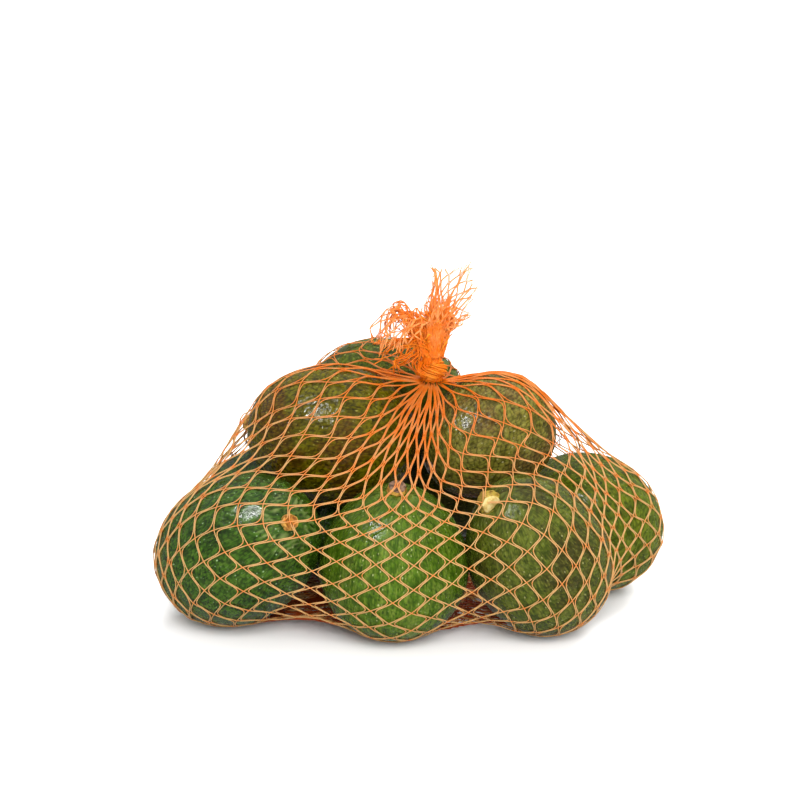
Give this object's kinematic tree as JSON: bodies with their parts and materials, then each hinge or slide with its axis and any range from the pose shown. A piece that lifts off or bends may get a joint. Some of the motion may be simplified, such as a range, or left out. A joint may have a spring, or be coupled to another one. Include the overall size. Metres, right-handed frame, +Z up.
{
  "type": "net of avocados",
  "caption": "Orange mesh bag pulled tight over a low heap of avocados, tied in a knot on top, with the loose end of the netting standing above it as a tuft.",
  "frame": {"origin": "on the ground, under the middle of the heap's box", "axes": "+Z up, +X to the right and +Y away from the side that is looked at"},
  "size_m": [0.2378, 0.2104, 0.1607],
  "materials": {
    "avocado_skin": "waxy green fruit skin, fine pebbled, with a soft gloss",
    "netting": "knotless extruded polyethylene netting, bright orange"
  },
  "bodies": {
    "root": {"filled_net": "avocado_skin", "knot": "netting", "tuft": "netting"}
  },
  "joints": []
}
